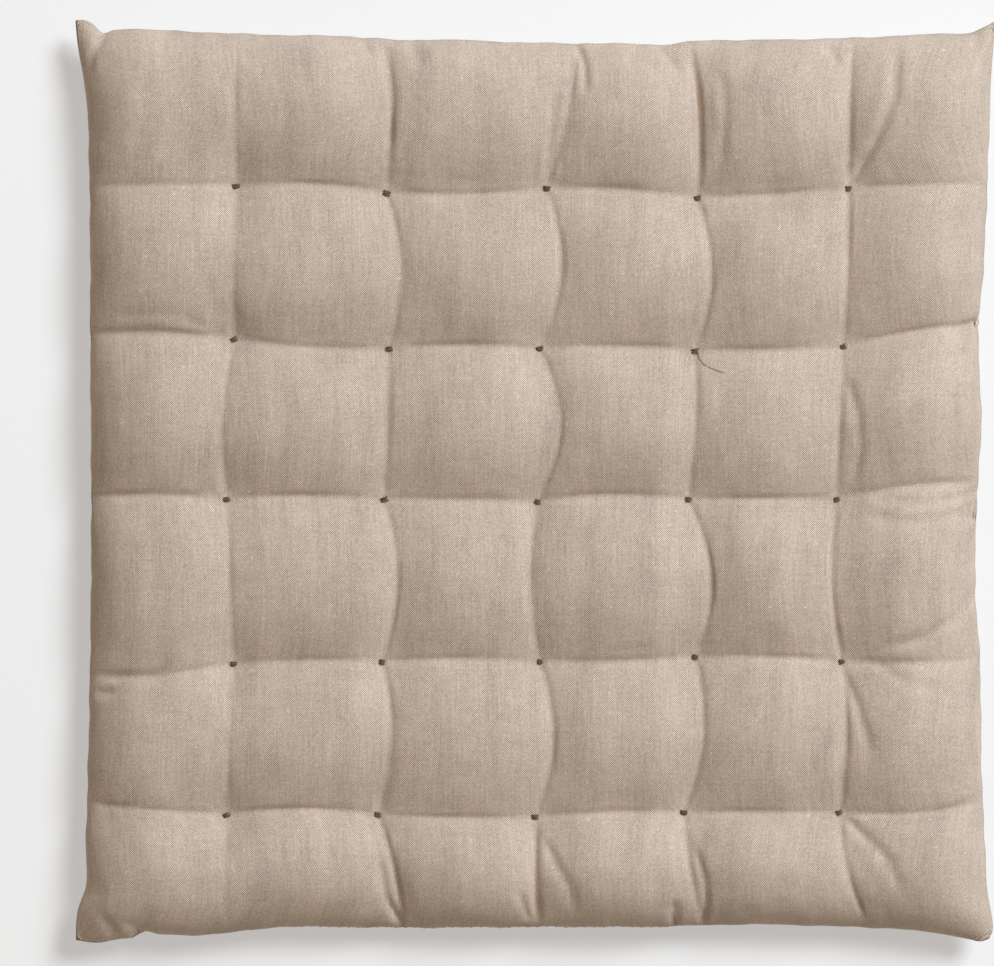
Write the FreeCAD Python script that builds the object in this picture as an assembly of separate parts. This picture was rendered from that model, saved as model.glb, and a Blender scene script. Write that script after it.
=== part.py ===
"""Tufted seat pad, 400 mm square, knife-edged.

Two woven panels are sewn face to face round their edges, turned right side out through a gap in the
front side, filled with three layers of wadding, and the gap is closed by hand. Twenty-five short bar
tacks of brown thread are then pulled through everything, which draws the panels together in five rows
of five and leaves thirty-six soft pillows.

The pad lies on the plane Z = 0, its front side towards -Y, with the origin under its middle.
All sizes are in millimetres.
"""

import FreeCAD
import Part

import math
import os

Vector = FreeCAD.Vector
UP = Vector(0, 0, 1)

# --- The whole pad ---------------------------------------------------------------------------------
PAD_SIDE = 400.0  # from corner to corner along a side, before the corners are blunted
SIDE_BOW = 8.0  # how far the middle of a side draws in as the pad fills
CORNER_RADIUS = 5.0  # blunt tip of each corner
PAD_THICKNESS = 36.0  # from the seat to the tops of the pillows
SEAM_HEIGHT = 15.0  # from the seat to the edge seam

# --- The cloth panels ------------------------------------------------------------------------------
CLOTH = 0.6  # thickness of the woven cloth
SEAM_ALLOWANCE = 10.0  # width of cloth turned in behind the edge seam
RIM = 2.4  # height of the rolled edge, from the seam to where a panel starts to slope
EDGE_ROLL = 46.0  # distance over which a panel rises from its edge to full height
EDGE_FULLNESS = 2.6  # higher is rounder at the edge

# --- The pillows -----------------------------------------------------------------------------------
CREASE_DEPTH = 6.5  # from a pillow's top to the crease halfway between two tufts
TUFT_DEPTH = 13.0  # from a pillow's top to the cloth at a tuft
UNDER_CREASE = 4.5  # from the seat up to a crease halfway between two tufts
UNDER_TUFT = 9.0  # from the seat up to the cloth at a tuft
PRESSED_FLAT = 2.5  # how much of each lower pillow the seat presses flat
SAMPLES_PER_PILLOW = 8  # surface points per pillow, each way

# --- The tufts -------------------------------------------------------------------------------------
TUFT_PITCH_X = 66.0
TUFT_PITCH_Y = 67.0
TUFT_GRID_SHIFT = (0.5, -9.0)  # the tufted grid sits nearer the front side
# Where each tuft landed, off the marked grid, from the left and from the back row to the front row.
TUFT_DRIFT = (
    ((2, 2), (1, -1), (4, 1), (3, -3), (2, 1)),
    ((1, 3), (2, -1), (1, -1), (2, -2), (0, 0)),
    ((-2, 1), (0, 1), (0, 0), (-1, 1), (-3, 1)),
    ((1, -3), (-1, -2), (1, -2), (2, 0), (-1, -2)),
    ((-2, -1), (-3, -1), (-1, -2), (-3, 0), (-2, 0)),
)
THREAD_BUNDLE = 0.6  # radius of the thread bundle through the pad
BAR_LENGTH = 4.0  # the bar tack seen on each face
BAR_WIDTH = 2.0
BAR_HEIGHT = 0.9
GATHER_RADIUS = 3.6  # the knot of gathered cloth that a bar tack lies on
GATHER_THICKNESS = 1.8
GATHER_PROUD = 0.8  # how far the gathered cloth stands above the bottom of the pit
NEEDLE_CLEARANCE = 0.1  # round a thread, where it passes through cloth or wadding

# --- The wadding -----------------------------------------------------------------------------------
WADDING_CLEARANCE = 0.3  # between the wadding and the cloth
CORE_THICKNESS = 6.0  # of the flat middle layer
CORE_SETBACK = 6.0  # from the inner edge of the seam allowance to the middle layer
LAYER_GAP = 0.1  # between one layer and the next

# --- The seams -------------------------------------------------------------------------------------
SEAM_THREAD = 0.4  # thickness of the sewing thread
SEAM_INSET = 1.6  # from the pad's edge to the middle of the line of stitching
CLOSING_GAP = 156.0  # length of the turning gap in the front side
CLOSING_CENTRE = -24.0  # its middle, along X
CLOSING_PITCH = 4.0  # one hand stitch to the next
CLOSING_THREAD = 0.5
CLOSING_SPREAD = 1.2  # from the seam to where a hand stitch enters each panel
CLOSING_LEG = 1.2  # how far a hand stitch reaches in behind the pad's edge
CLOSING_CLEARANCE = 0.05  # between a hand stitch and the edge that it crosses

HALF = PAD_SIDE / 2
SHARPEST = 1.0  # smallest radius of a corner that is drawn in from the pad's edge
OVERHANG = 6.0  # how far a modelling surface runs past the pad's edge
WELL_CLEAR = 4 * PAD_THICKNESS  # a height well outside the pad
ROWS = len(TUFT_DRIFT)
COLUMNS = len(TUFT_DRIFT[0])


# --- The outline -----------------------------------------------------------------------------------
def edge_at(across):
    """How far from the middle a side runs, at a distance along it from its own middle."""
    return HALF - SIDE_BOW * (1 - (across / HALF) ** 2)


def outline(inset, z):
    """The pad's plan at one height, drawn in by an inset: four bowed sides with blunt corners."""
    half = HALF - inset
    lean = 2 * math.atan(SIDE_BOW / half)  # of a side, where it reaches a corner
    blunt = max(CORNER_RADIUS - inset, SHARPEST)
    centre = half - blunt / math.sin(math.pi / 4 - lean) / math.sqrt(2)
    far = centre + blunt * math.cos(lean)
    near = centre - blunt * math.sin(lean)
    tip = centre + blunt / math.sqrt(2)
    edges = []
    for k in range(4):
        turn = FreeCAD.Placement(Vector(0, 0, z), FreeCAD.Rotation(UP, 90 * k))
        side_start, side_middle, side_end, corner, next_side = [
            turn.multVec(Vector(x, y, 0))
            for x, y in ((far, -near), (half - SIDE_BOW, 0), (far, near), (tip, tip), (near, far))
        ]
        edges.append(Part.Arc(side_start, side_middle, side_end).toShape())
        edges.append(Part.Arc(side_end, corner, next_side).toShape())
    return Part.Face(Part.Wire(edges))


def plan_block(inset, low, high):
    """A block with the pad's plan, from one height to another."""
    return outline(inset, low).extrude(Vector(0, 0, high - low))


# --- Where the tufts are ---------------------------------------------------------------------------
def tuft_place(row, column):
    """Plan position of a tuft. Row 0 is at the back, column 0 at the left."""
    drift_x, drift_y = TUFT_DRIFT[row][column]
    x = (column - (COLUMNS - 1) / 2) * TUFT_PITCH_X + TUFT_GRID_SHIFT[0] + drift_x
    y = ((ROWS - 1) / 2 - row) * TUFT_PITCH_Y + TUFT_GRID_SHIFT[1] + drift_y
    return x, y


def between(points, at):
    """Value on the line through (place, value) points, level past its ends."""
    if at <= points[0][0]:
        return points[0][1]
    for (a, value_a), (b, value_b) in zip(points, points[1:]):
        if at <= b:
            return value_a + (value_b - value_a) * (at - a) / (b - a)
    return points[-1][1]


# Each row of tufts as (x, y) points from left to right, and the rows from the front to the back.
ROW_LINES = [[tuft_place(r, c) for c in range(COLUMNS)] for r in reversed(range(ROWS))]
# Each column as (y, x) points from the front to the back, and the columns from left to right.
COLUMN_LINES = [[line[c][::-1] for line in ROW_LINES] for c in range(COLUMNS)]


def crease(at, lines):
    """1 on a crease line and 0 halfway between two, for a place measured across sorted lines."""
    for low, high in zip(lines, lines[1:]):
        if low <= at <= high:
            return 1 - math.sin(math.pi * (at - low) / (high - low))
    pitch = (lines[-1] - lines[0]) / (len(lines) - 1)
    past = max(lines[0] - at, at - lines[-1])
    return 1 - math.sin(math.pi * min(past / pitch, 0.5))


# --- The shape of a panel --------------------------------------------------------------------------
def edge_rise(inside):
    """0 at the pad's edge, 1 from EDGE_ROLL inwards, and running on below 0 outside the edge."""
    left = 1 - min(inside / EDGE_ROLL, 1.0)
    return 1 - left**EDGE_FULLNESS


def fullness(x, y):
    """How much of its full height a panel has at a place, before the creases."""
    return edge_rise(edge_at(y) - abs(x)) * edge_rise(edge_at(x) - abs(y))


def sunk(x, y, crease_depth, tuft_depth):
    """How deep the creases and tufts draw a panel in at a place."""
    across = crease(x, [between(line, y) for line in COLUMN_LINES])
    along = crease(y, [between(line, x) for line in ROW_LINES])
    either = across + along - across * along
    return crease_depth * either + (tuft_depth - crease_depth) * across * along


def upper_height(x, y):
    """Height of the top panel's outer face."""
    loft = PAD_THICKNESS - SEAM_HEIGHT - RIM
    return SEAM_HEIGHT + RIM + (loft - sunk(x, y, CREASE_DEPTH, TUFT_DEPTH)) * fullness(x, y)


def lower_height(x, y):
    """Height of the bottom panel's outer face, before the seat presses it flat."""
    loft = SEAM_HEIGHT - RIM + PRESSED_FLAT
    depth = sunk(x, y, UNDER_CREASE + PRESSED_FLAT, UNDER_TUFT + PRESSED_FLAT)
    return SEAM_HEIGHT - RIM - (loft - depth) * fullness(x, y)


def panel_surface(height, shift):
    """A smooth surface through sampled heights, moved up by a shift."""
    reach = HALF + OVERHANG
    count = SAMPLES_PER_PILLOW * (COLUMNS + 1)
    places = [reach * (2 * i / count - 1) for i in range(count + 1)]
    surface = Part.BSplineSurface()
    surface.interpolate([[Vector(x, y, height(x, y) + shift) for y in places] for x in places])
    return surface


def beneath(height, shift):
    """The solid below a panel surface."""
    return panel_surface(height, shift).toShape().extrude(Vector(0, 0, -WELL_CLEAR))


def above(height, shift):
    """The solid above a panel surface."""
    return panel_surface(height, shift).toShape().extrude(Vector(0, 0, WELL_CLEAR))


def pit(surface, x, y, guess):
    """Height of a surface at a tuft."""
    u, v = surface.parameter(Vector(x, y, guess))
    return surface.value(u, v).z


# --- The tufts, and the room that they take in other pieces ----------------------------------------
class Tuft:
    """One tuft: its place, and the heights of the gathered cloth on each face."""

    def __init__(self, row, column, upper, lower):
        self.name = f"tuft_{row + 1}_{column + 1}"
        self.x, self.y = tuft_place(row, column)
        self.top = pit(upper, self.x, self.y, upper_height(self.x, self.y)) + GATHER_PROUD
        self.bottom = pit(lower, self.x, self.y, lower_height(self.x, self.y)) - GATHER_PROUD

    def disc(self, radius, low, high):
        """An upright cylinder on the tuft, from one height to another."""
        return Part.makeCylinder(radius, high - low, Vector(self.x, self.y, low))

    def bar(self, z):
        """A short bar with round ends, lying along X."""
        reach = (BAR_LENGTH - BAR_WIDTH) / 2
        half = BAR_WIDTH / 2
        centre = Vector(self.x, self.y, z)
        front_left = centre + Vector(-reach, -half, 0)
        front_right = centre + Vector(reach, -half, 0)
        back_left = centre + Vector(-reach, half, 0)
        back_right = centre + Vector(reach, half, 0)
        edges = [
            Part.LineSegment(front_left, front_right).toShape(),
            Part.Arc(front_right, centre + Vector(reach + half, 0, 0), back_right).toShape(),
            Part.LineSegment(back_right, back_left).toShape(),
            Part.Arc(back_left, centre - Vector(reach + half, 0, 0), front_left).toShape(),
        ]
        return Part.Face(Part.Wire(edges)).extrude(Vector(0, 0, BAR_HEIGHT))

    def thread(self):
        """The bar tack: a bar on each face and the bundle of thread between them."""
        bundle = self.disc(THREAD_BUNDLE, self.bottom - BAR_HEIGHT / 2, self.top + BAR_HEIGHT / 2)
        return bundle.multiFuse([self.bar(self.top), self.bar(self.bottom - BAR_HEIGHT)])

    def hole(self):
        """Room for the bundle right through the pad."""
        radius = THREAD_BUNDLE + NEEDLE_CLEARANCE
        return self.disc(radius, -WELL_CLEAR, WELL_CLEAR)

    def upper_gather(self, grow=0.0):
        """The knot of cloth under the upper bar, or the room it needs in the wadding."""
        low = self.top - GATHER_THICKNESS - grow
        return self.disc(GATHER_RADIUS + grow, low, self.top + grow)

    def lower_gather(self, grow=0.0):
        """The knot of cloth over the lower bar, or the room it needs in the wadding."""
        high = self.bottom + GATHER_THICKNESS + grow
        return self.disc(GATHER_RADIUS + grow, self.bottom - grow, high)


# --- The pieces ------------------------------------------------------------------------------------
def closing_places():
    """Where the hand stitches stand along the front side."""
    count = int(CLOSING_GAP / CLOSING_PITCH)
    start = CLOSING_CENTRE - (count - 1) * CLOSING_PITCH / 2
    return [start + i * CLOSING_PITCH for i in range(count)]


def closing_front(x):
    """Where the outside of the hand stitch at x lies, along Y."""
    return -edge_at(x) - CLOSING_THREAD


def closing_leg(x, side, radius):
    """The rod by which a hand stitch enters the upper panel (side 1) or the lower one (side -1)."""
    start = Vector(x, closing_front(x), SEAM_HEIGHT + side * CLOSING_SPREAD)
    return Part.makeCylinder(radius, CLOSING_THREAD + CLOSING_LEG, start, Vector(0, 1, 0))


def pierced(shell, tufts, side):
    """A panel with its needle holes: one at each tuft, and one at each hand stitch."""
    radius = CLOSING_THREAD / 2 + NEEDLE_CLEARANCE
    legs = [closing_leg(x, side, radius) for x in closing_places()]
    return shell.cut([t.hole() for t in tufts] + legs)


def top_cover(tufts):
    """The upper panel: its skin, its rolled edge and the allowance turned in along the seam."""
    block = plan_block(0, SEAM_HEIGHT, WELL_CLEAR).common(beneath(upper_height, 0))
    hollow = plan_block(CLOTH, SEAM_HEIGHT + CLOTH, WELL_CLEAR)
    hollow = hollow.common(beneath(upper_height, -CLOTH))
    mouth = plan_block(CLOTH + SEAM_ALLOWANCE, SEAM_HEIGHT - CLOTH, SEAM_HEIGHT + 2 * CLOTH)
    shell = block.cut([hollow, mouth]).multiFuse([t.upper_gather() for t in tufts])
    return pierced(shell, tufts, 1)


def bottom_cover(tufts):
    """The lower panel, pressed flat where its pillows rest on the seat."""
    block = plan_block(0, 0, SEAM_HEIGHT).common(above(lower_height, 0))
    hollow = plan_block(CLOTH, CLOTH, SEAM_HEIGHT - CLOTH).common(above(lower_height, CLOTH))
    mouth = plan_block(CLOTH + SEAM_ALLOWANCE, SEAM_HEIGHT - 2 * CLOTH, SEAM_HEIGHT + CLOTH)
    shell = block.cut([hollow, mouth]).multiFuse([t.lower_gather() for t in tufts])
    return pierced(shell, tufts, -1)


def core_block(grow):
    """The flat middle layer, made larger all round by some clearance."""
    inset = CLOTH + SEAM_ALLOWANCE + CORE_SETBACK - grow
    half = CORE_THICKNESS / 2 + grow
    return plan_block(inset, SEAM_HEIGHT - half, SEAM_HEIGHT + half)


def wadding_edge():
    """How far the outer layers of wadding stay in from the pad's edge, clear of the seam threads."""
    return SEAM_INSET + SEAM_THREAD / 2 + WADDING_CLEARANCE


def wadding_top(tufts):
    """The full-size layer under the top panel."""
    low = SEAM_HEIGHT + CLOTH + LAYER_GAP
    layer = plan_block(wadding_edge(), low, WELL_CLEAR)
    layer = layer.common(beneath(upper_height, -CLOTH - WADDING_CLEARANCE))
    gathers = [t.upper_gather(WADDING_CLEARANCE) for t in tufts]
    return layer.cut([core_block(LAYER_GAP)] + gathers + [t.hole() for t in tufts])


def wadding_bottom(tufts):
    """The full-size layer over the bottom panel."""
    high = SEAM_HEIGHT - CLOTH - LAYER_GAP
    layer = plan_block(wadding_edge(), CLOTH + WADDING_CLEARANCE, high)
    layer = layer.common(above(lower_height, CLOTH + WADDING_CLEARANCE))
    gathers = [t.lower_gather(WADDING_CLEARANCE) for t in tufts]
    return layer.cut([core_block(LAYER_GAP)] + gathers + [t.hole() for t in tufts])


def wadding_core(tufts):
    """The flat middle layer, which crowns the pad."""
    return core_block(0).cut([t.hole() for t in tufts])


def seam_ring(low):
    """One thread of the lockstitch, lying round the seam allowance."""
    outer = plan_block(SEAM_INSET - SEAM_THREAD / 2, low, low + SEAM_THREAD)
    return outer.cut(plan_block(SEAM_INSET + SEAM_THREAD / 2, low, low + SEAM_THREAD))


def closing_stitch(x):
    """One hand stitch across the turning gap: a bar outside the edge and a leg into each panel."""
    height = 2 * CLOSING_SPREAD + CLOSING_THREAD
    low = Vector(x - CLOSING_THREAD / 2, closing_front(x), SEAM_HEIGHT - height / 2)
    bar = Part.makeBox(CLOSING_THREAD, CLOSING_THREAD - CLOSING_CLEARANCE, height, low)
    return bar.multiFuse([closing_leg(x, side, CLOSING_THREAD / 2) for side in (-1, 1)])


def main():
    os.makedirs("parts", exist_ok=True)
    upper = panel_surface(upper_height, 0)
    lower = panel_surface(lower_height, 0)
    tufts = [Tuft(r, c, upper, lower) for r in range(ROWS) for c in range(COLUMNS)]
    pieces = {
        "top_cover": top_cover(tufts),
        "bottom_cover": bottom_cover(tufts),
        "wadding_top": wadding_top(tufts),
        "wadding_core": wadding_core(tufts),
        "wadding_bottom": wadding_bottom(tufts),
        "seam_needle_thread": seam_ring(SEAM_HEIGHT + CLOTH),
        "seam_bobbin_thread": seam_ring(SEAM_HEIGHT - CLOTH - SEAM_THREAD),
        "closing_stitches": Part.makeCompound([closing_stitch(x) for x in closing_places()]),
    }
    for tuft in tufts:
        pieces[tuft.name] = tuft.thread()
    for name, shape in pieces.items():
        shape.exportStep(f"parts/{name}.step")
        print(name, len(shape.Solids), "solid", round(shape.Volume, 1), "mm3", shape.isValid())


main()
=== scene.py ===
# %% [markdown]
# # A tufted seat pad
# The real pad is two square panels of plain-woven cotton, sewn face to face round their edges, turned
# right side out and filled with soft wadding. Twenty-five short tacks of brown thread then pull both
# panels together, and the cloth between them stands up as thirty-six pillows. This lesson builds each
# piece as the maker does: cut, sew, fill, tuft. All plan work is in millimetres, and a mesh is scaled
# to metres when it is made.

# %% Load the frame
import math

import bpy
import numpy as np
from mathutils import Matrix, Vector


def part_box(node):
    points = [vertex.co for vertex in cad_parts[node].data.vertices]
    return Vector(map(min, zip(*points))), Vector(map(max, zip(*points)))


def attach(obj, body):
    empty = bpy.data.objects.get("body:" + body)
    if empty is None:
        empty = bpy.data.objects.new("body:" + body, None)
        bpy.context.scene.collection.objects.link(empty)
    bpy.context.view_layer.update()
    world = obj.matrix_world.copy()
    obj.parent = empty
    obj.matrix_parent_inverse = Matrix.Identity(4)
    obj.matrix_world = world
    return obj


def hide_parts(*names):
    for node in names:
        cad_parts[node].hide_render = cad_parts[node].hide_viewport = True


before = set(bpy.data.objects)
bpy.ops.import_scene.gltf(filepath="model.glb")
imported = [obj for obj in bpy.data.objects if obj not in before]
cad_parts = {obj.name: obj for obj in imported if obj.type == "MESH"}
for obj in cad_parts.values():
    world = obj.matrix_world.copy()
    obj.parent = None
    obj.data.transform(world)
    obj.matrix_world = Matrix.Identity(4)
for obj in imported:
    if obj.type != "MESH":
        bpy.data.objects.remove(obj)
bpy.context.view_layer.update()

MM = 0.001
print("nodes in the frame:", len(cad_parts))

# %% [markdown]
# ## Measures from the frame
# The design already says where every tuft is, how high the seam lies and how thick the pad is. Reading
# those sizes from the frame keeps the soft pieces in step with the design if it ever changes.


# %% Places and heights
def box(node):
    """A node's lowest and highest corner, in millimetres."""
    low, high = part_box(node)
    return np.array(low) / MM, np.array(high) / MM


ROWS, COLUMNS = 5, 5
PILLOWS = 6
TUFT_BAR = 0.9  # height of the design's plain bar on each face
tuft_boxes = np.array([[box(f"tuft_{row}_{column}") for column in range(1, COLUMNS + 1)]
                       for row in range(ROWS, 0, -1)])  # the front row first
TUFTS = tuft_boxes.mean(axis=2)[..., :2]
PIT_TOP = tuft_boxes[:, :, 1, 2] - TUFT_BAR
PIT_UNDER = tuft_boxes[:, :, 0, 2] + TUFT_BAR
SEAM, THICK = (corner[2] for corner in box("top_cover"))
print("seam at", round(SEAM, 1), "mm, thickness", round(THICK, 1), "mm")

# %% [markdown]
# ## Camera and light
# The pad is seen from straight above, so the camera needs no turning: a camera at rest already looks
# down with +Y at the top of the picture. One broad window behind the right corner rakes the creases,
# and a pale sky fills the shadows.

# %% Camera
VIEW_WIDTH = 431.0
VIEW_MIDDLE = (-17.0, -1.0)
LENS, SENSOR = 120.0, 36.0


def put_in_scene(name, data):
    """A new object in the scene, which shows a camera, a lamp or a mesh."""
    made = bpy.data.objects.new(name, data)
    bpy.context.scene.collection.objects.link(made)
    return made


def add_camera():
    data = bpy.data.cameras.new("camera")
    data.lens = LENS
    data.sensor_width = SENSOR
    camera = put_in_scene("camera", data)
    height = SEAM + VIEW_WIDTH * LENS / SENSOR
    camera.location = (VIEW_MIDDLE[0] * MM, VIEW_MIDDLE[1] * MM, height * MM)
    bpy.context.scene.camera = camera
    return camera


print("camera height:", round(add_camera().location.z, 3), "m")


# %% Lights
WINDOW_PLACE = (2.12, 1.96, 2.90)  # in metres
WINDOW_SIZE = 1.6
WINDOW_WATTS = 184
WINDOW_COLOUR = (0.93, 1.024, 1.135)  # cool daylight
SKY_COLOUR = (1.02, 0.80, 0.555)  # warm, as light off the walls of a room
SKY_STRENGTH = 0.285


def add_window():
    """A square soft light that faces the middle of the pad."""
    data = bpy.data.lights.new("window", "AREA")
    data.size = WINDOW_SIZE
    data.energy = WINDOW_WATTS
    data.color = WINDOW_COLOUR
    light = put_in_scene("window", data)
    light.location = WINDOW_PLACE
    light.rotation_euler = (-light.location).to_track_quat("-Z", "Y").to_euler()


def add_sky():
    world = bpy.data.worlds.new("sky")
    world.use_nodes = True
    background = world.node_tree.nodes["Background"]
    background.inputs["Color"].default_value = (*SKY_COLOUR, 1)
    background.inputs["Strength"].default_value = SKY_STRENGTH
    bpy.context.scene.world = world


add_window()
add_sky()
bpy.context.scene.view_settings.view_transform = "Standard"

# %% [markdown]
# ## Writing shaders as sums
# A woven finish is mostly arithmetic on the cloth's own coordinates. The small class below wraps one
# socket and gives it the ordinary operators, so a formula in Python adds its Math nodes by itself.


# %% Shader arithmetic
def add_node(tree, kind, settings=None, sockets=None):
    """Adds a node: its settings first, then its sockets' values or links."""
    node = tree.nodes.new(kind)
    for name, value in (settings or {}).items():
        setattr(node, name, value)
    for name, value in (sockets or {}).items():
        if isinstance(value, Wire):
            value = value.socket
        if isinstance(value, bpy.types.NodeSocket):
            tree.links.new(value, node.inputs[name])
        else:
            node.inputs[name].default_value = value
    return node


class Wire:
    """One output socket of a material, which can be used in a formula."""

    def __init__(self, paint, socket):
        self.paint = paint
        self.socket = socket

    def math(self, operation, *others):
        values = dict(enumerate((self, *others)))
        return self.paint.add("ShaderNodeMath", {"operation": operation}, values)["Value"]

    def __add__(self, other):
        return self.math("ADD", other)

    def __mul__(self, other):
        return self.math("MULTIPLY", other)

    def __sub__(self, other):
        return self.math("SUBTRACT", other)

    def __rsub__(self, other):
        return (self * -1) + other

    __radd__ = __add__
    __rmul__ = __mul__


class Added:
    """A node just added, whose outputs are read by name or number as wires."""

    def __init__(self, paint, node):
        self.paint = paint
        self.node = node

    def __getitem__(self, name):
        return Wire(self.paint, self.node.outputs[name])


class Paint:
    """A material under construction."""

    def __init__(self, name):
        self.material = bpy.data.materials.new(name)
        self.material.use_nodes = True
        self.tree = self.material.node_tree
        self.tree.nodes.clear()

    def add(self, kind, settings=None, sockets=None):
        """Adds a node to the material, from wires as well as plain values."""
        return Added(self, add_node(self.tree, kind, settings, sockets))

    def colour_mix(self, factor, first, second, blend="MIX"):
        """Mixes two colours; a colour Mix node takes them at sockets 6 and 7 and gives output 2."""
        settings = {"data_type": "RGBA", "blend_type": blend}
        return self.add("ShaderNodeMix", settings, {0: factor, 6: rgba(first), 7: rgba(second)})[2]

    def finish(self, colour, roughness, relief=None, **numbers):
        """Ends the material with a Principled shader; relief is a height, a strength and a distance."""
        sockets = {"Base Color": rgba(colour), "Roughness": roughness}
        sockets.update({name.replace("_", " "): value for name, value in numbers.items()})
        if relief:
            bump = dict(zip(("Height", "Strength", "Distance"), relief))
            sockets["Normal"] = self.add("ShaderNodeBump", None, bump)["Normal"]
        shader = self.add("ShaderNodeBsdfPrincipled", None, sockets)
        self.add("ShaderNodeOutputMaterial", None, {"Surface": shader["BSDF"]})
        return self.material


def rgba(colour):
    """A colour of three numbers with full alpha; a wire stays as it is."""
    return colour if isinstance(colour, Wire) else (*colour, 1)


# %% [markdown]
# ## The cloth's finish
# The cloth is a plain weave of pale warp and tan weft, so up close it is a fine check: at each crossing
# either the pale thread or the tan one lies on top. The product of two sines has just that pattern. The
# yarn is uneven, as cotton is: long streaks run along the threads, single crossings are lighter or
# darker, and the dye is faintly mottled. The pattern reads the cloth's flat coordinates, so it follows
# every pillow and fold as the real weave does.

# %% Woven cloth
THREADS = 2200.0  # per metre, each way
WARP = (0.690, 0.590, 0.495)
WEFT = (0.320, 0.232, 0.168)
FLECK = (0.74, 0.68, 0.60)  # a thick pale place in a yarn
CONTRAST = 2.2  # how sharply pale turns to tan at a crossing
WANDER_U, WANDER_V = 1.1, 0.9  # how far the threads stray sideways, in threads
YARN_ACROSS, YARN_ALONG = 1500.0, 45.0  # noise scales of the streaks in a yarn
BAND_ACROSS, BAND_ALONG = 75.0, 9.0  # and of broad soft bands along the warp
BASE_SHADE, BRIGHTNESS = 0.62, 1.18
WARP_SHARE, WEFT_SHARE, SPECK_SHARE, MOTTLE_SHARE, BAND_SHARE = 0.34, 0.16, 0.26, 0.22, 0.30


def woven_cloth():
    paint = Paint("woven_cotton")
    flat = paint.add("ShaderNodeUVMap", {"uv_map": "cut"})["UV"]

    def noise(place, **sockets):
        """Noise in two dimensions."""
        sockets["Vector"] = place
        return paint.add("ShaderNodeTexNoise", {"noise_dimensions": "2D"}, sockets)["Fac"]

    def streaks(scale_x, scale_y, seed):
        """Noise drawn out along the direction with the smaller scale."""
        grain = paint.add("ShaderNodeMapping", {"vector_type": "POINT"}, {
            "Vector": flat, "Scale": (scale_x, scale_y, 1.0), "Location": (seed, seed, 0.0)})["Vector"]
        return noise(grain, Scale=1.0, Detail=2.0, Roughness=0.6)

    wander = noise(flat, Scale=260.0)
    across = paint.add("ShaderNodeSeparateXYZ", None, {0: flat})
    u = across["X"] * THREADS + wander * WANDER_U
    v = across["Y"] * THREADS + wander * WANDER_V
    over = (u * math.pi).math("SINE") * (v * math.pi).math("SINE")
    check = (over * CONTRAST + 0.5).math("MINIMUM", 1.0).math("MAXIMUM", 0.0)

    warp_streaks = streaks(YARN_ACROSS, YARN_ALONG, 3.0)
    weft_streaks = streaks(YARN_ALONG, YARN_ACROSS, 7.0)
    bands = streaks(BAND_ACROSS, BAND_ALONG, 13.0)
    crossing = paint.add("ShaderNodeCombineXYZ", None, {0: u.math("FLOOR"), 1: v.math("FLOOR")})["Vector"]
    speck = paint.add("ShaderNodeTexWhiteNoise", {"noise_dimensions": "2D"}, {"Vector": crossing})["Value"]
    mottle = noise(flat, Scale=60.0, Detail=4.0, Roughness=0.65)
    slub = noise(flat, Scale=420.0, Detail=1.0)

    fleck = (slub - 0.70).math("MAXIMUM", 0.0) * 2.4
    yarn = paint.colour_mix(fleck, paint.colour_mix(check, WEFT, WARP), FLECK)
    shade = BASE_SHADE + warp_streaks * WARP_SHARE + weft_streaks * WEFT_SHARE + (speck - 0.5) * SPECK_SHARE
    shade = (shade + (mottle - 0.5) * MOTTLE_SHARE + (bands - 0.5) * BAND_SHARE) * BRIGHTNESS
    tone = paint.add("ShaderNodeCombineColor", None, {0: shade, 1: shade, 2: shade})["Color"]
    colour = paint.colour_mix(1.0, yarn, tone, "MULTIPLY")
    height = over.math("ABSOLUTE").math("SQRT") + warp_streaks * 0.5 + weft_streaks * 0.4
    return paint.finish(colour, 0.86 + mottle * 0.08, (height, 0.55, 0.00016), Sheen_Weight=0.06,
                        Sheen_Roughness=0.5, Specular_IOR_Level=0.25)


CLOTH_FINISH = woven_cloth()
print("finish:", CLOTH_FINISH.name, len(CLOTH_FINISH.node_tree.nodes), "nodes")

# %% [markdown]
# ## Thread and wadding finishes
# Sewing thread is two or three plies twisted together, which show as fine slanting ridges. Wadding is
# a springy mat of white fibres: a tangle of soft noise in colour and relief is enough, because it is
# only seen if the cover is opened.


# %% Thread and wadding
def twisted_thread(name, dark, light):
    paint = Paint(name)
    place = paint.add("ShaderNodeTexCoord")["Object"]
    ply = paint.add("ShaderNodeTexWave", {"bands_direction": "DIAGONAL"}, {
        "Vector": place, "Scale": 900.0, "Distortion": 2.0, "Detail": 1.0})["Fac"]
    fuzz = paint.add("ShaderNodeTexNoise", None, {"Vector": place, "Scale": 2400.0, "Detail": 3.0})["Fac"]
    colour = paint.colour_mix(ply * 0.6 + fuzz * 0.4, dark, light)
    return paint.finish(colour, 0.62 + fuzz * 0.2, (ply + fuzz * 0.5, 0.5, 0.00008), Sheen_Weight=0.1)


def fibre_mat():
    paint = Paint("white_wadding")
    place = paint.add("ShaderNodeTexCoord")["Object"]
    tangle = paint.add("ShaderNodeTexNoise", None, {
        "Vector": place, "Scale": 420.0, "Detail": 6.0, "Roughness": 0.7, "Distortion": 1.2})["Fac"]
    clumps = paint.add("ShaderNodeTexNoise", None, {"Vector": place, "Scale": 60.0, "Detail": 3.0})["Fac"]
    colour = paint.colour_mix(tangle * 0.7 + clumps * 0.3, (0.66, 0.66, 0.64), (0.92, 0.92, 0.90))
    return paint.finish(colour, 0.9 + tangle * 0.08, (tangle, 0.7, 0.0006), Sheen_Weight=0.2)


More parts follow.
